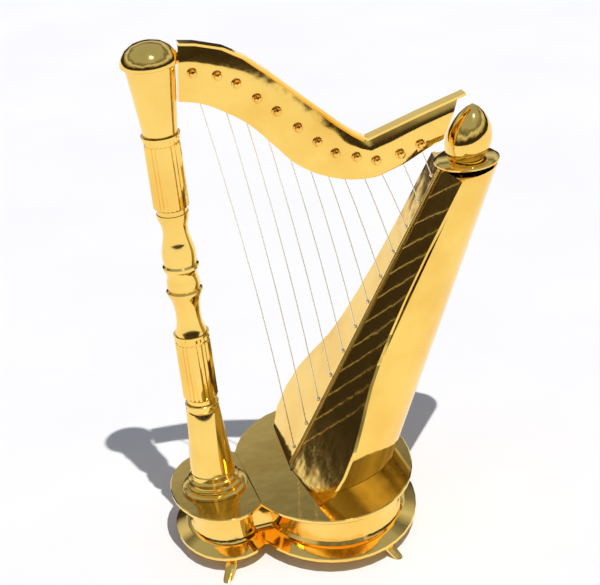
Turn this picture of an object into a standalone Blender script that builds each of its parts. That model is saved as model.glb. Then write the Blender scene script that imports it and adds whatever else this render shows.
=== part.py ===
# Miniature pedal-style harp ornament: turned fluted column, swan neck with tuning pins,
# bell-shaped soundboard on a half-cone soundbox, two-lobed base on splayed feet.
# Sizes are in millimetres below and are turned into metres where meshes are made.
import math
import bmesh
import bpy
from mathutils import Vector

for old in list(bpy.data.objects):
    bpy.data.objects.remove(old, do_unlink=True)

MM = 0.001
SEAT = 0.1            # clearance where one piece seats on another

# Base
FOOT_H = 4.6          # floor to the underside of the bottom plate
BOTTOM_T = 3.4
BOTTOM_LIP = 1.3      # upright edge of the bottom plate, below its slope
WALL_H = 11.6
TOP_T = 1.4
PLATE_EDGE = 0.3      # chamfer on the plates' rims
WALL_INSET = 5.8
SLOPE_INSET = 3.6
LEFT_X, LEFT_RX, LEFT_RY = 1.4, 16.5, 24.0
RIGHT_X, RIGHT_RX, RIGHT_RY = 38.5, 30.2, 41.3
WAIST_Y = 18.2        # half width of the top plate where its two lobes meet
FOOT_ROOT_R, FOOT_TIP_R = 2.1, 1.7
FOOT_ROOTS = ((-0.4, 19.6), (48.4, 33.0))
FOOT_SPLAY = ((-4.6, 7.4), (3.4, 5.6))

# Column, heights above the top plate
DISC_R, RING1_R, RING2_R, RING3_R = 11.3, 9.6, 8.6, 7.7
PLINTH_H = 6.9
LOWER_TAPER_TOP, LOWER_TAPER_R0, LOWER_TAPER_R1 = 33.6, 7.4, 5.7
LOWER_DRUM_TOP = 59.6
DRUM_R = 5.85
FLUTES, FLUTE_D = 24, 0.42
BALUSTER_TOP = 102.9
UPPER_DRUM_TOP = 129.8
LEDGE_R = 6.35
UPPER_TAPER_TOP, UPPER_TAPER_R0, UPPER_TAPER_R1 = 152.4, 5.55, 8.0
CAP_R, CAP_RIM, CAP_DOME = 9.3, 1.5, 6.2

# Neck and pins
NECK_T = 3.0
STRIP_W, STRIP_T = 4.2, 0.8
NECK_TOP = ((14.4, 156.2), (23.0, 153.1), (29.9, 148.6), (36.5, 142.4), (45.4, 133.1),
            (57.8, 120.4), (62.5, 116.2), (66.4, 113.5), (85.0, 118.3), (101.1, 122.1))
NECK_TOP_LEFT = 157.2
NECK_LOW = ((13.8, 137.3), (20.3, 133.5), (28.2, 127.3), (35.4, 118.7), (41.6, 111.1),
            (49.5, 105.3), (58.8, 101.5), (67.4, 100.4), (73.0, 101.5), (79.0, 103.2), (86.7, 107.0))
NECK_LOW_LEFT = 139.3
PIN_R, PIN_CLEAR = 0.9, 0.05
PIN_HEAD_R, PIN_WASHER_R, PIN_HEAD_H = 1.4, 1.75, 1.5
PIN_BACK, PIN_KNOB_R = 4.2, 1.3
PINS = ((12.6, 147.6), (20.3, 145.2), (26.1, 141.4), (32.0, 135.2), (37.8, 129.7), (44.0, 122.8),
        (49.9, 116.6), (55.4, 111.5), (62.3, 108.7), (68.8, 106.0), (77.1, 106.6), (84.3, 108.4))

# Soundboard and soundbox: the board leans back from the base towards +X
BOARD_X = 28.9        # front face of the board at the top plate
LEAN = 0.654          # run in X for each unit of height
BOARD_T = 1.0
BODY_H = 98.0
BOARD_WIDTH = ((0.0, 29.0), (5.0, 34.0), (12.0, 35.0), (19.5, 33.2), (26.0, 29.3), (31.0, 25.8),
               (35.5, 22.8), (42.0, 20.2), (51.0, 18.0), (62.0, 16.4), (76.0, 15.3), (BODY_H, 14.9))
RIDGE = 1.8           # how far the board's centre stands proud of its edges
RIB_W, RIB_H = 1.0, 0.6
SHELL_LOW, SHELL_HIGH = (34.0, 24.0), (16.0, 13.8)
COLLAR_R, COLLAR_H = 11.0, 2.2
DOME_R, DOME_H, DOME_LEAN = 7.9, 17.6, 0.2

# Strings
WIRE_R, BEAD_R = 0.2, 0.75
STRING_Y, ANCHOR_Y = 2.6, 2.0
ANCHOR_DROP = 4.1     # from the top of the body down to the highest string's bead
ANCHOR_TOP, ANCHOR_PITCH = BODY_H - ANCHOR_DROP, 8.1
SLACK = 0.012

Z_TOP = FOOT_H + BOTTOM_T + WALL_H + TOP_T + 2 * SEAT
COLLAR_X = BOARD_X + LEAN * BODY_H + SHELL_HIGH[0] * 0.5 - 0.9
X_SHIFT = -0.5 * ((LEFT_X - LEFT_RX) + (COLLAR_X + COLLAR_R))

parts = bpy.data.collections.new("harp_ornament")
bpy.context.scene.collection.children.link(parts)


def material(name, colour, rough):
    mat = bpy.data.materials.new(name)
    mat.use_nodes = True
    node = mat.node_tree.nodes["Principled BSDF"]
    node.inputs["Base Color"].default_value = (*colour, 1.0)
    node.inputs["Metallic"].default_value = 1.0
    node.inputs["Roughness"].default_value = rough
    return mat


GOLD, WIRE = (0.94, 0.66, 0.2), (0.86, 0.8, 0.62)


def finish(name, bm, place=(0.0, 0.0, 0.0), colour=GOLD, rough=0.1, smooth=True):
    """Turns a bmesh in millimetres into a named object in metres, placed at a point."""
    bmesh.ops.remove_doubles(bm, verts=bm.verts, dist=0.0005)
    bmesh.ops.recalc_face_normals(bm, faces=bm.faces)
    bmesh.ops.scale(bm, vec=(MM, MM, MM), verts=bm.verts)
    mesh = bpy.data.meshes.new(name)
    bm.to_mesh(mesh)
    bm.free()
    mesh.materials.append(material(name + "_metal", colour, rough))
    for poly in mesh.polygons:
        poly.use_smooth = smooth
    if smooth:
        mesh.set_sharp_from_angle(angle=math.radians(35))
    obj = bpy.data.objects.new(name, mesh)
    obj.location = ((place[0] + X_SHIFT) * MM, place[1] * MM, place[2] * MM)
    parts.objects.link(obj)
    return obj


def loft(bm, rings, closed_ends=True):
    """Joins rings of equal count into a tube, and caps its two ends."""
    loops = [[bm.verts.new(p) for p in ring] for ring in rings]
    for low, high in zip(loops, loops[1:]):
        for i in range(len(low)):
            j = (i + 1) % len(low)
            bm.faces.new((low[i], low[j], high[j], high[i]))
    if closed_ends:
        bm.faces.new(loops[0][::-1])
        bm.faces.new(loops[-1])


def turned(name, profile, z, segments=32, flutes=0, fluted=(), x=0.0, lean=0.0):
    """Revolves (radius, height) pairs about Z. Fluted rows are hollowed between the flutes."""
    bm = bmesh.new()
    count = flutes * 2 if flutes else segments
    rings = []
    for row, (radius, height) in enumerate(profile):
        ring = []
        for k in range(count):
            angle = 2 * math.pi * k / count
            r = radius - (FLUTE_D if row in fluted and k % 2 else 0.0)
            ring.append((r * math.cos(angle) + lean * height, r * math.sin(angle), height))
        rings.append(ring)
    loft(bm, rings)
    return finish(name, bm, (x, 0.0, z))


def prism(name, outline, half_y, holes=(), place=(0.0, 0.0, 0.0)):
    """Extrudes an outline in X and Z by half_y to both sides of Y = 0, with round holes."""
    curve = bpy.data.curves.new(name + "_outline", "CURVE")
    curve.dimensions = "2D"
    curve.fill_mode = "BOTH"
    curve.extrude = half_y
    for points in [outline] + [
            [(cx + r * math.cos(math.pi * k / 6), cz + r * math.sin(math.pi * k / 6)) for k in range(12)]
            for cx, cz, r in holes]:
        spline = curve.splines.new("POLY")
        spline.points.add(len(points) - 1)
        for point, (px, pz) in zip(spline.points, points):
            point.co = (px, pz, 0.0, 1.0)
        spline.use_cyclic_u = True
    source = bpy.data.objects.new(name + "_outline", curve)
    parts.objects.link(source)
    bpy.context.view_layer.update()
    evaluated = source.evaluated_get(bpy.context.evaluated_depsgraph_get())
    mesh = bpy.data.meshes.new_from_object(evaluated)
    bm = bmesh.new()
    bm.from_mesh(mesh)
    bpy.data.objects.remove(source, do_unlink=True)
    bpy.data.curves.remove(curve)
    bpy.data.meshes.remove(mesh)
    for v in bm.verts:
        v.co = Vector((v.co.x, -v.co.z, v.co.y))
    return finish(name, bm, place)


def base_outline(inset, z):
    """Two ellipses joined by a short straight at the waist, drawn in by inset."""
    lx, ly = LEFT_RX - inset, LEFT_RY - inset
    rx, ry = RIGHT_RX - inset, RIGHT_RY - inset
    waist = WAIST_Y - inset
    left = math.asin(waist / ly)
    right = math.pi - math.asin(waist / ry)
    ring = []
    for k in range(LEFT_STEPS + 1):
        a = left + (2 * math.pi - 2 * left) * k / LEFT_STEPS
        ring.append((LEFT_X + lx * math.cos(a), ly * math.sin(a), z))
    for k in range(RIGHT_STEPS + 1):
        a = -right + 2 * right * k / RIGHT_STEPS
        ring.append((RIGHT_X + rx * math.cos(a), ry * math.sin(a), z))
    return ring


LEFT_STEPS, RIGHT_STEPS = 22, 34


def base_piece(name, levels, z):
    """Lofts the outline through its levels. Each end is closed by strips across the base."""
    bm = bmesh.new()
    rings = [base_outline(inset, height) for inset, height in levels]
    loft(bm, rings, closed_ends=False)
    for ring in (rings[0], rings[-1]):
        loop = [bm.verts.new(p) for p in ring]
        left, right = loop[:LEFT_STEPS + 1], loop[LEFT_STEPS + 1:]
        for side in (left, right):
            last = len(side) - 1
            for k in range(last // 2):
                corners = [side[k], side[k + 1], side[last - k - 1], side[last - k]]
                bm.faces.new(list(dict.fromkeys(corners)))
        bm.faces.new((left[0], left[-1], right[0], right[-1]))
    return finish(name, bm, (0.0, 0.0, z))


# Base box: bottom plate with a sloped upper side, inset wall, thin top plate
z = FOOT_H
base_piece("base_bottom_plate", [(PLATE_EDGE, 0.0), (0.0, PLATE_EDGE), (0.0, BOTTOM_LIP), (0.5, BOTTOM_LIP + 0.3),
                                 (SLOPE_INSET, BOTTOM_T - 0.4), (SLOPE_INSET + 0.6, BOTTOM_T)], z)
z += BOTTOM_T + SEAT
base_piece("base_wall", [(WALL_INSET - 0.8, 0.0), (WALL_INSET, 1.2), (WALL_INSET, WALL_H - 1.2),
                         (WALL_INSET - 0.8, WALL_H)], z)
z += WALL_H + SEAT
base_piece("base_top_plate", [(PLATE_EDGE, 0.0), (0.0, PLATE_EDGE), (0.0, TOP_T - PLATE_EDGE),
                              (PLATE_EDGE, TOP_T)], z)

# Splayed peg feet, cut flat at the floor
for (root, splay), end in zip(zip(FOOT_ROOTS, FOOT_SPLAY), ("left", "right")):
    for side, where in ((-1, "front"), (1, "back")):
        bm = bmesh.new()
        rings = []
        for t, r in ((0.0, FOOT_TIP_R - 0.3), (0.12, FOOT_TIP_R), (0.9, FOOT_ROOT_R), (1.0, FOOT_ROOT_R)):
            shift = 1.0 - t
            rings.append([(splay[0] * shift + r * math.cos(math.pi * k / 6),
                           side * splay[1] * shift + r * math.sin(math.pi * k / 6),
                           t * (FOOT_H - SEAT)) for k in range(12)])
        loft(bm, rings)
        finish("foot_%s_%s" % (where, end), bm, (root[0], side * root[1], 0.0))

# Column, from the plinth up
p = SEAT
turned("column_plinth", [(DISC_R, 0.0), (DISC_R, 0.9), (DISC_R - 0.4, 1.2), (RING1_R, 1.3), (RING1_R, 2.6),
                         (RING2_R, 3.0), (RING2_R, 4.5), (RING3_R, 5.0), (RING3_R, PLINTH_H - 0.3),
                         (RING3_R - 0.3, PLINTH_H)], Z_TOP + p)
low, top = PLINTH_H + 2 * SEAT, LOWER_TAPER_TOP
h = top - low
turned("column_lower_taper", [(LOWER_TAPER_R0, 0.0), (LOWER_TAPER_R0 - 0.1, 0.12 * h), (6.35, 0.52 * h),
                              (LOWER_TAPER_R1, 0.88 * h), (LOWER_TAPER_R1 - 0.3, 0.9 * h),
                              (LOWER_TAPER_R1, 0.92 * h), (LOWER_TAPER_R1, h - 0.2),
                              (LOWER_TAPER_R1 - 0.2, h)], Z_TOP + low)


def drum(name, low, top, ledge_low):
    """A fluted drum with a plain band, a groove and a ledge at its upper end."""
    h = top - low
    rows = [(DRUM_R - 0.9, 0.0), (DRUM_R - 0.9, 1.5), (DRUM_R, 2.2), (DRUM_R, h - 3.2), (DRUM_R - 0.5, h - 2.9),
            (DRUM_R - 0.5, h - 2.5), (DRUM_R, h - 2.2), (DRUM_R, h - 1.0), (ledge_low, h - 0.7), (ledge_low, h)]
    return turned(name, rows, Z_TOP + low, flutes=FLUTES, fluted=(2, 3, 6, 7))


drum("column_lower_drum", LOWER_TAPER_TOP + SEAT, LOWER_DRUM_TOP, DRUM_R + 0.1)
low, top = LOWER_DRUM_TOP + SEAT, BALUSTER_TOP
BALUSTER = ((5.3, 0.0), (5.0, 1.2), (4.3, 3.6), (4.1, 6.9), (4.4, 10.5), (5.2, 13.6), (6.0, 14.9), (6.0, 15.7),
            (5.2, 16.3), (5.55, 17.6), (5.35, 19.4), (5.0, 20.6), (5.1, 22.4), (6.0, 23.7), (6.0, 24.7),
            (5.4, 25.4), (5.6, 27.6), (5.5, 30.0), (4.8, 33.0), (4.1, 36.4), (4.4, 39.3), (5.2, 41.6), (5.3, 43.2))
scale = (top - low) / BALUSTER[-1][1]
turned("column_baluster", [(r, s * scale) for r, s in BALUSTER], Z_TOP + low)
drum("column_upper_drum", BALUSTER_TOP + SEAT, UPPER_DRUM_TOP, LEDGE_R)
low, top = UPPER_DRUM_TOP + SEAT, UPPER_TAPER_TOP
turned("column_upper_taper", [(UPPER_TAPER_R0, 0.0), (UPPER_TAPER_R1, top - low)], Z_TOP + low)
turned("column_cap", [(CAP_R - 0.9, 0.0), (CAP_R, 0.5), (CAP_R, CAP_RIM), (CAP_R * 0.93, CAP_RIM + 0.3 * CAP_DOME),
                      (CAP_R * 0.76, CAP_RIM + 0.62 * CAP_DOME), (CAP_R * 0.5, CAP_RIM + 0.87 * CAP_DOME),
                      (CAP_R * 0.2, CAP_RIM + 0.98 * CAP_DOME), (0.3, CAP_RIM + CAP_DOME)],
       Z_TOP + UPPER_TAPER_TOP + SEAT)


def taper_radius(height):
    share = (height - UPPER_DRUM_TOP) / (UPPER_TAPER_TOP - UPPER_DRUM_TOP)
    return UPPER_TAPER_R0 + share * (UPPER_TAPER_R1 - UPPER_TAPER_R0)


# Neck plate: swan profile, butted to the cap and the taper on the left and to the dome on the right
CAP_LOW = UPPER_TAPER_TOP - 0.3
DOME = ((0.78, 0.0), (0.93, 0.12), (1.0, 0.27), (0.99, 0.4), (0.9, 0.56), (0.74, 0.7), (0.52, 0.84),
        (0.27, 0.94), (0.04, 1.0))
DOME_GAP = 0.35       # clearance between the neck's end and the dome
neck = [(CAP_R + 2 * SEAT, NECK_TOP_LEFT)] + list(NECK_TOP)
neck += [(COLLAR_X + DOME_LEAN * DOME_H * share - DOME_R * wide - DOME_GAP,
          BODY_H + COLLAR_H + 2 * SEAT + DOME_H * share) for wide, share in DOME[:1:-1][2:6]]
neck += list(NECK_LOW)[::-1]
neck += [(taper_radius(NECK_LOW_LEFT) + 2 * SEAT, NECK_LOW_LEFT),
         (taper_radius(CAP_LOW) + 2 * SEAT, CAP_LOW), (CAP_R + 2 * SEAT, CAP_LOW)]
holes = [(x, z, PIN_R + PIN_CLEAR) for x, z in PINS]
prism("neck_plate", neck, NECK_T / 2, holes, (0.0, 0.0, Z_TOP))

# Top strip of the neck: the upper edge offset along its own normals
edge = [(CAP_R + 2 * SEAT, NECK_TOP_LEFT)] + list(NECK_TOP)


def offset(points, distance):
    out = []
    for i, point in enumerate(points):
        a = Vector(points[max(i - 1, 0)])
        b = Vector(point)
        c = Vector(points[min(i + 1, len(points) - 1)])
        normals = [Vector((-(v.y), v.x)).normalized() for v in (b - a, c - b) if v.length > 0]
        mean = sum(normals, Vector((0.0, 0.0))).normalized()
        out.append(tuple(b + mean * distance / max(0.5, mean.dot(normals[0]))))
    return out


strip = offset(edge, SEAT) + offset(edge, SEAT + STRIP_T)[::-1]
prism("neck_top_strip", strip, STRIP_W / 2, (), (0.0, 0.0, Z_TOP))

# Tuning pins: washer and domed head in front, stem through the neck, knob behind
for number, (x, z) in enumerate(PINS, 1):
    face, back = -(NECK_T / 2 + SEAT), NECK_T / 2 + PIN_BACK
    rows = ((0.2, face - PIN_HEAD_H), (PIN_HEAD_R * 0.7, face - PIN_HEAD_H * 0.85), (PIN_HEAD_R, face - 0.5),
            (PIN_WASHER_R, face - 0.4), (PIN_WASHER_R, face), (PIN_R, face), (PIN_R, back - 1.4),
            (PIN_KNOB_R, back - 1.2), (PIN_KNOB_R, back - 0.3), (PIN_KNOB_R * 0.6, back))
    bm = bmesh.new()
    loft(bm, [[(r * math.cos(math.pi * k / 6), y, r * math.sin(math.pi * k / 6)) for k in range(12)]
              for r, y in rows])
    finish("tuning_pin_%02d" % number, bm, (x, 0.0, z + Z_TOP))

# Soundboard: bell-shaped board leaning back, made flat and then tilted
ANGLE = math.atan(LEAN)
COS, SIN = math.cos(ANGLE), math.sin(ANGLE)


def on_board(height, y, proud):
    """A point over the board's front face, proud of it by a distance along its normal."""
    return (BOARD_X + LEAN * height - proud * COS, y, height + proud * SIN)


def board_solid(name, rows, front, back):
    """rows hold (height, half width); front and back are distances proud of the board's face."""
    bm = bmesh.new()
    rings = []
    for height, half in rows:
        # the cut at each row is level, so both ends of the piece are flat
        ring = []
        for depth, w in ((front, half), (front + RIDGE, 0.0), (front, -half), (back, -half), (back, half)):
            x = BOARD_X + LEAN * height - depth / COS
            ring.append((x, w, height))
        rings.append(ring)
    loft(bm, rings)
    return finish(name, bm, (0.0, 0.0, Z_TOP))


rows = [(max(height, SEAT), half) for height, half in BOARD_WIDTH]
board_solid("soundboard", rows, 0.0, -BOARD_T)

# Raised rib that carries the strings, half an ellipse across
bm = bmesh.new()
rings = []
for height in (1.5, BODY_H - 0.6):
    ring = []
    for k in range(9):
        a = math.pi * k / 8
        proud = RIDGE + SEAT + RIB_H * math.sin(a)
        ring.append((BOARD_X + LEAN * height - proud / COS, RIB_W * math.cos(a), height))
    rings.append(ring)
loft(bm, rings)
finish("string_rib", bm, (0.0, 0.0, Z_TOP))

# Half-cone soundbox behind the board
bm = bmesh.new()
rings = []
for step in range(5):
    t = step / 4
    height = SEAT + t * (BODY_H - SEAT)
    depth = SHELL_LOW[0] + t * (SHELL_HIGH[0] - SHELL_LOW[0])
    half = SHELL_LOW[1] + t * (SHELL_HIGH[1] - SHELL_LOW[1])
    x0 = BOARD_X + LEAN * height + (BOARD_T + SEAT) / COS
    rings.append([(x0 + depth * math.sin(math.pi * k / 20), -half * math.cos(math.pi * k / 20), height)
                  for k in range(21)])
loft(bm, rings)
finish("soundbox_shell", bm, (0.0, 0.0, Z_TOP))

# Saucer collar and pointed dome on top of the body
turned("shoulder_collar", [(COLLAR_R - 2.2, 0.0), (COLLAR_R, 0.9), (COLLAR_R, 1.4), (COLLAR_R - 1.4, COLLAR_H)],
       Z_TOP + BODY_H + SEAT, x=COLLAR_X)
turned("dome_finial", [(DOME_R * r, DOME_H * s) for r, s in DOME],
       Z_TOP + BODY_H + COLLAR_H + 2 * SEAT, x=COLLAR_X, lean=DOME_LEAN)

# Strings: each is one wire with its bead on the rib, from the bead up to its pin's stem
for number, (px, pz) in enumerate(PINS, 1):
    height = ANCHOR_TOP - (len(PINS) - number) * ANCHOR_PITCH
    proud = RIDGE + BEAD_R + SEAT
    foot = Vector(on_board(height, ANCHOR_Y, proud))
    pin = Vector((px, STRING_Y, pz))
    reach = (foot - pin).normalized()
    head = pin + reach * (PIN_R + 2 * SEAT)
    length = (head - foot).length
    side = Vector((-reach.z, 0.0, reach.x))
    if side.x < 0:
        side = -side
    stations = [(0.0, 0.25), (0.35, 0.62), (0.75, BEAD_R), (1.15, 0.62), (1.5, WIRE_R)]
    stations = [(s - 0.75, r) for s, r in stations]
    stations += [(length * f, WIRE_R) for f in (0.2, 0.4, 0.6, 0.8, 1.0)]
    bm = bmesh.new()
    rings = []
    u = Vector((0.0, 1.0, 0.0))
    for s, r in stations:
        f = max(0.0, s / length)
        centre = foot - reach * s + side * (SLACK * length * 4 * f * (1 - f))
        rings.append([tuple(centre + u * r * math.cos(math.pi * k / 3) + side * r * math.sin(math.pi * k / 3))
                      for k in range(6)])
    loft(bm, rings)
    finish("string_%02d" % number, bm, (0.0, 0.0, Z_TOP), WIRE, 0.25)

for obj in parts.objects:
    bm = bmesh.new()
    bm.from_mesh(obj.data)
    print(obj.name, len(bm.faces), "volume mm3 %.2f" % (bm.calc_volume() * 1e9))
    bm.free()
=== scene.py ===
import math

import bmesh
import bpy
from mathutils import Matrix, Vector


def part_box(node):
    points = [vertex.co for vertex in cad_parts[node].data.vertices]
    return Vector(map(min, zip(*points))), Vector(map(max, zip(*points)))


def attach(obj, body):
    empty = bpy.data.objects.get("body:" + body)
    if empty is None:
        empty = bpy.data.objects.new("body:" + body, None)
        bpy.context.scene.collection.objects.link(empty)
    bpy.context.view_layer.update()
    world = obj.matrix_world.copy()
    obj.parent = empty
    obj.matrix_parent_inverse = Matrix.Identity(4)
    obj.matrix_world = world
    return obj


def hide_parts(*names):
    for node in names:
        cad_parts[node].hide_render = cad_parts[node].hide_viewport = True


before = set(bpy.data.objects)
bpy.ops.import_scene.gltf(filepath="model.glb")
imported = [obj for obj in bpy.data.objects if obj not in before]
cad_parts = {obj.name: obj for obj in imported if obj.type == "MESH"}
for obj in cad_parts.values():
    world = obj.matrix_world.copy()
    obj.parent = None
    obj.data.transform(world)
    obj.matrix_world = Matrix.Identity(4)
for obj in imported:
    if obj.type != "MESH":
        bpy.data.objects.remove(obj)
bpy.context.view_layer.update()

scene = bpy.context.scene
scene.view_settings.view_transform = "Standard"

# Camera, fitted to the photograph: place in metres, right and viewing directions, lens and sensor in mm
CAMERA_PLACE = Vector((-0.13307, -0.54118, 0.35302))
CAMERA_RIGHT = Vector((0.95539, -0.27313, -0.11234)).normalized()
CAMERA_FORWARD = Vector((0.20018, 0.87858, -0.43361)).normalized()
CAMERA_LENS = 111.0
CAMERA_SENSOR = 36.0

# Metal: tarnish in patches, fine scratches in the gloss and a slight ripple, each from a noise
PATCH_SCALE = 45.0
PATCH_DETAIL = 4.0
PATCH_DARK = 0.3           # noise value up to which the metal is tarnished
PATCH_CLEAN = 0.55         # noise value from which it is clean
SCRATCH_SCALE = 900.0
SCRATCH_DETAIL = 6.0
SCRATCH_NONE = 0.35        # noise value up to which the gloss is plain
SCRATCH_FULL = 0.75        # noise value from which it is fully scratched
SCRATCH_GAIN = 1.7         # a scratch's roughness is the plain one times this, plus the next value
SCRATCH_LIFT = 0.02
RIPPLE_SCALE = 160.0
RIPPLE_DETAIL = 1.0
RIPPLE_HEIGHT = 0.0006

# Shading of the CAD nodes
WELD_DISTANCE = 0.000002
SHARP_ANGLE = math.radians(34)
RIDGE_ANGLE = math.radians(5)   # the soundboard's ridge is a shallow fold that stays sharp

# Neck outline in mm, from the column's axis and the top of the base. It follows the CAD plate's points as a
# smooth curve, and beside the dome it ends up to about 3 mm short of the plate.
MM_PER_METRE = 1000
NECK_TOP = ((9.5, 157.2), (14.4, 156.2), (23.0, 153.1), (29.9, 148.6), (36.5, 142.4), (45.4, 133.1),
            (57.8, 120.4), (62.5, 116.2), (66.4, 113.5), (75.0, 115.7), (85.0, 118.3), (98.8, 121.6))
NECK_LOW = ((7.2, 139.3), (13.8, 137.3), (20.3, 133.5), (28.2, 127.3), (35.4, 118.7), (41.6, 111.1),
            (49.5, 105.3), (58.8, 101.5), (67.4, 100.4), (73.0, 101.5), (79.0, 103.2), (86.0, 106.2),
            (92.2, 108.4))
NOTCH = 8                  # the point of NECK_TOP where the edge turns sharply
STATIONS = 67
NECK_SHARP_ANGLE = math.radians(40)

# Neck section: share of the way from the lower to the upper edge, and half the thickness there in mm
SECTION = ((0.0, 1.3), (0.03, 1.5), (0.58, 1.5), (0.66, 1.42), (0.74, 1.22), (0.82, 0.92), (0.91, 0.55),
           (1.0, 0.15))

# Bores through the neck for the pins' stems, in metres
BORE_R = 0.00096
BORE_DEPTH = 0.008
BORE_SIDES = 24

# Floor: pale ground, just below the feet
FLOOR_SIZE = 4.0
FLOOR_DROP = 0.0001
GROUND_DARK = (0.86, 0.86, 0.89)
GROUND_PALE = (0.92, 0.92, 0.94)
GROUND_GRAIN = 14.0
GROUND_ROUGH = 0.9
GROUND_SPECULAR = 0.1

# Sun, high and in front, a little to the right
SUN_FROM = Vector((0.1, -0.47, 1.0)).normalized()
SUN_STRENGTH = 3.0
SUN_ANGLE = math.radians(0.6)
SUN_COLOUR = (1.0, 0.98, 0.94)

# Sky: bands by height for the metal to reflect, plain soft light for the rest, white for the camera
SKY_BANDS = ((0.0, (0.05, 0.04, 0.03)), (0.05, (0.03, 0.025, 0.02)), (0.2, (0.05, 0.04, 0.03)),
             (0.3, (0.4, 0.42, 0.44)), (0.42, (0.7, 0.74, 0.78)), (0.55, (0.14, 0.15, 0.16)),
             (0.68, (0.4, 0.44, 0.5)), (1.0, (0.36, 0.42, 0.5)))
SKY_NOISE_SCALE = 2.2
SKY_NOISE_DETAIL = 2.0
SKY_SWING = 0.45           # how far, in all, the noise moves the bands up and down
SOFT_COLOUR = (0.82, 0.88, 1.0, 1.0)
SOFT_STRENGTH = 0.3
WHITE = (1.0, 1.0, 1.0, 1.0)
FULL_STRENGTH = 1.0


def add_object(name, data):
    """Makes an object of the data and links it to the scene."""
    made = bpy.data.objects.new(name, data)
    scene.collection.objects.link(made)
    return made


def mesh_of(name, bm):
    """Turns a bmesh into a named mesh."""
    mesh = bpy.data.meshes.new(name)
    bm.to_mesh(mesh)
    bm.free()
    return mesh


def add_node(tree, kind, sockets):
    """Adds a shader node and sets the sockets that are given by name or number."""
    node = tree.nodes.new("ShaderNode" + kind)
    for socket, value in sockets.items():
        node.inputs[socket].default_value = value
    return node


def link(tree, source, target):
    tree.links.new(source, target)


def fill_ramp(node, stops):
    """Sets a colour ramp's stops, given as position and colour from the lowest to the highest."""
    elements = node.color_ramp.elements
    for element, (position, colour) in zip((elements[0], elements[1]), (stops[0], stops[-1])):
        element.position = position
        element.color = (*colour, 1.0)
    for position, colour in stops[1:-1]:
        element = elements.new(position)
        element.color = (*colour, 1.0)


def set_camera():
    data = bpy.data.cameras.new("camera")
    data.sensor_width = CAMERA_SENSOR
    data.lens = CAMERA_LENS
    camera = add_object("camera", data)
    up = CAMERA_RIGHT.cross(CAMERA_FORWARD).normalized()
    rows = zip(CAMERA_RIGHT, up, -CAMERA_FORWARD, CAMERA_PLACE)
    camera.matrix_world = Matrix((*rows, (0.0, 0.0, 0.0, 1.0)))
    scene.camera = camera


def metal(name, colour, dark, rough, ripple=0.02):
    """Polished plated metal. dark is the colour of its tarnished patches, ripple the strength of its bump."""
    mat = bpy.data.materials.new(name)
    mat.use_nodes = True
    tree = mat.node_tree
    bsdf = tree.nodes["Principled BSDF"]
    bsdf.inputs["Metallic"].default_value = 1.0
    coord = tree.nodes.new("ShaderNodeTexCoord")
    patches = add_node(tree, "TexNoise", {"Scale": PATCH_SCALE, "Detail": PATCH_DETAIL})
    ramp = add_node(tree, "ValToRGB", {})
    fill_ramp(ramp, ((PATCH_DARK, dark), (PATCH_CLEAN, colour)))
    scratches = add_node(tree, "TexNoise", {"Scale": SCRATCH_SCALE, "Detail": SCRATCH_DETAIL})
    gloss = add_node(tree, "MapRange", {
        "From Min": SCRATCH_NONE, "From Max": SCRATCH_FULL,
        "To Min": rough, "To Max": rough * SCRATCH_GAIN + SCRATCH_LIFT})
    waves = add_node(tree, "TexNoise", {"Scale": RIPPLE_SCALE, "Detail": RIPPLE_DETAIL})
    bump = add_node(tree, "Bump", {"Strength": ripple, "Distance": RIPPLE_HEIGHT})
    for noise in (patches, scratches, waves):
        link(tree, coord.outputs["Object"], noise.inputs["Vector"])
    link(tree, patches.outputs["Fac"], ramp.inputs["Fac"])
    link(tree, ramp.outputs["Color"], bsdf.inputs["Base Color"])
    link(tree, scratches.outputs["Fac"], gloss.inputs["Value"])
    link(tree, gloss.outputs["Result"], bsdf.inputs["Roughness"])
    link(tree, waves.outputs["Fac"], bump.inputs["Height"])
    link(tree, bump.outputs["Normal"], bsdf.inputs["Normal"])
    return mat


def dress(name, node):
    """Gives a CAD node its finish, smooth shading and sharp edges. Its vertices stay as they are."""
    finish = next((mat for start, mat in FINISHES if name.startswith(start)), GOLD)
    if not node.material_slots:
        node.data.materials.append(finish)
    for slot in node.material_slots:
        slot.material = finish
    for polygon in node.data.polygons:
        polygon.use_smooth = True
    normals = node.data.attributes.get("custom_normal")
    if normals:
        node.data.attributes.remove(normals)
    weld = node.modifiers.new("weld", "WELD")
    weld.merge_threshold = WELD_DISTANCE
    split = node.modifiers.new("sharp_edges", "EDGE_SPLIT")
    split.split_angle = RIDGE_ANGLE if name == "soundboard" else SHARP_ANGLE


def smooth_path(points, count, corner=None):
    """Resamples a polyline by a Catmull-Rom curve. A corner point keeps its angle."""
    out = []
    last = len(points) - 1
    for k in range(count):
        s = k / (count - 1) * last
        i = min(int(s), last - 1)
        f = s - i
        p = [Vector(points[min(max(i + d, 0), last)]) for d in (-1, 0, 1, 2)]
        if i == corner:
            p[0] = p[1] * 2 - p[2]
        if i + 1 == corner:
            p[3] = p[2] * 2 - p[1]
        out.append(0.5 * ((2 * p[1]) + (p[2] - p[0]) * f + (2 * p[0] - 5 * p[1] + 4 * p[2] - p[3]) * f * f
                          + (3 * p[1] - p[0] - 3 * p[2] + p[3]) * f ** 3))
    return out


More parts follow.
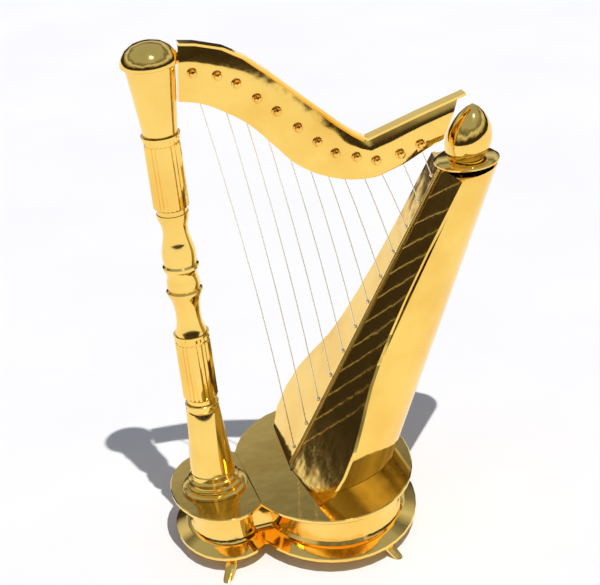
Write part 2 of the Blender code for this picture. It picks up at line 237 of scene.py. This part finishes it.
def neck_mesh():
    """Lofts the section along the neck. The column's plinth and the base's top plate give its place."""
    plinth_low, plinth_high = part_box("column_plinth")
    axis_x = 0.5 * (plinth_low[0] + plinth_high[0])
    base_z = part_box("base_top_plate")[1][2]
    tops = smooth_path(NECK_TOP, STATIONS, corner=NOTCH)
    lows = smooth_path(NECK_LOW, STATIONS)
    bm = bmesh.new()
    rings = []
    for top, bottom in zip(tops, lows):
        front = [(bottom.lerp(top, share), -half) for share, half in SECTION]
        ring = front + [(p, -y) for p, y in front[::-1]]
        rings.append([bm.verts.new((p.x / MM_PER_METRE + axis_x, y / MM_PER_METRE,
                                    p.y / MM_PER_METRE + base_z)) for p, y in ring])
    for one, two in zip(rings, rings[1:]):
        for i in range(len(one)):
            j = (i + 1) % len(one)
            bm.faces.new((one[i], one[j], two[j], two[i]))
    bm.faces.new(rings[0][::-1])
    bm.faces.new(rings[-1])
    bmesh.ops.recalc_face_normals(bm, faces=bm.faces)
    mesh = mesh_of("swan_neck", bm)
    for polygon in mesh.polygons:
        polygon.use_smooth = True
    mesh.set_sharp_from_angle(angle=NECK_SHARP_ANGLE)
    mesh.materials.append(BOARD)
    return mesh


def bores_mesh():
    """A cylinder along Y for each pin's stem, placed from the CAD pins themselves."""
    bm = bmesh.new()
    along_y = Matrix.Rotation(math.pi / 2, 4, "X")
    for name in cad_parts:
        if name.startswith("tuning_pin"):
            low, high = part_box(name)
            centre = (0.5 * (low[0] + high[0]), 0.0, 0.5 * (low[2] + high[2]))
            bmesh.ops.create_cone(bm, cap_ends=True, segments=BORE_SIDES, radius1=BORE_R, radius2=BORE_R,
                                  depth=BORE_DEPTH, matrix=Matrix.Translation(centre) @ along_y)
    return mesh_of("bores", bm)


def bore(piece, cutter):
    """Takes the cutter's shape out of the piece and removes the cutter."""
    cut = piece.modifiers.new("bores", "BOOLEAN")
    cut.operation = "DIFFERENCE"
    cut.solver = "EXACT"
    cut.object = cutter
    bpy.context.view_layer.update()
    bored = bpy.data.meshes.new_from_object(piece.evaluated_get(bpy.context.evaluated_depsgraph_get()))
    piece.modifiers.clear()
    piece.data = bored
    bpy.data.objects.remove(cutter, do_unlink=True)


def ground_material():
    mat = bpy.data.materials.new("ground")
    mat.use_nodes = True
    tree = mat.node_tree
    bsdf = tree.nodes["Principled BSDF"]
    bsdf.inputs["Roughness"].default_value = GROUND_ROUGH
    bsdf.inputs["Specular IOR Level"].default_value = GROUND_SPECULAR
    coord = tree.nodes.new("ShaderNodeTexCoord")
    grain = add_node(tree, "TexNoise", {"Scale": GROUND_GRAIN})
    ramp = add_node(tree, "ValToRGB", {})
    fill_ramp(ramp, ((0.0, GROUND_DARK), (1.0, GROUND_PALE)))
    link(tree, coord.outputs["Object"], grain.inputs["Vector"])
    link(tree, grain.outputs["Fac"], ramp.inputs["Fac"])
    link(tree, ramp.outputs["Color"], bsdf.inputs["Base Color"])
    return mat


def add_floor():
    bm = bmesh.new()
    bmesh.ops.create_grid(bm, x_segments=1, y_segments=1, size=FLOOR_SIZE)
    floor = add_object("floor", mesh_of("floor", bm))
    floor.location = (0.0, 0.0, -FLOOR_DROP)
    floor.data.materials.append(ground_material())


def add_sun():
    data = bpy.data.lights.new("sun", "SUN")
    data.energy = SUN_STRENGTH
    data.angle = SUN_ANGLE
    data.color = SUN_COLOUR
    sun = add_object("sun", data)
    sun.rotation_euler = SUN_FROM.to_track_quat("Z", "Y").to_euler()
    sun.location = SUN_FROM


def sky_height(tree):
    """A direction's height, from 0 at the skyline to 1 overhead, moved up and down by a noise."""
    coord = tree.nodes.new("ShaderNodeTexCoord")
    split = tree.nodes.new("ShaderNodeSeparateXYZ")
    noise = add_node(tree, "TexNoise", {"Scale": SKY_NOISE_SCALE, "Detail": SKY_NOISE_DETAIL})
    shift = add_node(tree, "Math", {1: SKY_SWING, 2: -0.5 * SKY_SWING})
    shift.operation = "MULTIPLY_ADD"
    height = tree.nodes.new("ShaderNodeMath")
    height.operation = "ADD"
    link(tree, coord.outputs["Generated"], split.inputs["Vector"])
    link(tree, coord.outputs["Generated"], noise.inputs["Vector"])
    link(tree, noise.outputs["Fac"], shift.inputs[0])
    link(tree, split.outputs["Z"], height.inputs[0])
    link(tree, shift.outputs["Value"], height.inputs[1])
    return height.outputs["Value"]


def choose(tree, switch, off, on):
    """Takes one shader where the switch is 0 and the other where it is 1."""
    mix = tree.nodes.new("ShaderNodeMixShader")
    link(tree, switch, mix.inputs[0])
    link(tree, off.outputs[0], mix.inputs[1])
    link(tree, on.outputs[0], mix.inputs[2])
    return mix


def add_sky():
    world = bpy.data.worlds.new("sky")
    scene.world = world
    world.use_nodes = True
    tree = world.node_tree
    tree.nodes.clear()
    bands = tree.nodes.new("ShaderNodeValToRGB")
    fill_ramp(bands, SKY_BANDS)
    link(tree, sky_height(tree), bands.inputs["Fac"])
    banded = add_node(tree, "Background", {"Strength": FULL_STRENGTH})
    link(tree, bands.outputs["Color"], banded.inputs["Color"])
    soft = add_node(tree, "Background", {"Color": SOFT_COLOUR, "Strength": SOFT_STRENGTH})
    white = add_node(tree, "Background", {"Color": WHITE, "Strength": FULL_STRENGTH})
    path = tree.nodes.new("ShaderNodeLightPath")
    lit = choose(tree, path.outputs["Is Glossy Ray"], soft, banded)
    seen = choose(tree, path.outputs["Is Camera Ray"], lit, white)
    out = tree.nodes.new("ShaderNodeOutputWorld")
    link(tree, seen.outputs[0], out.inputs["Surface"])


set_camera()

GOLD = metal("gold_plate", (1.0, 0.68, 0.17), (0.94, 0.59, 0.12), 0.05)
BOARD = metal("gold_board", (1.0, 0.67, 0.16), (0.92, 0.56, 0.11), 0.06, ripple=0.12)
TURNED = metal("gold_turned", (1.0, 0.68, 0.17), (0.93, 0.57, 0.12), 0.06, ripple=0.03)
PLATE = metal("gold_base_plate", (1.0, 0.68, 0.18), (0.93, 0.58, 0.12), 0.07, ripple=0.05)
PIN = metal("gold_pins", (0.98, 0.62, 0.15), (0.85, 0.48, 0.09), 0.1, ripple=0.05)
WIRE = metal("wire", (0.9, 0.85, 0.72), (0.8, 0.72, 0.55), 0.2)

# The first entry that starts a node's name gives its finish, and the other nodes are plain gold
FINISHES = (("string_rib", GOLD), ("string_", WIRE), ("tuning_pin", PIN), ("column", TURNED), ("base", PLATE),
            ("foot", PLATE), ("soundboard", BOARD), ("soundbox_shell", BOARD), ("neck_plate", BOARD))

for name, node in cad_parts.items():
    dress(name, node)

swan_neck = add_object("swan_neck", neck_mesh())
bore(swan_neck, add_object("bores", bores_mesh()))
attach(swan_neck, "harp")
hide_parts("neck_plate")

add_floor()
add_sun()
add_sky()
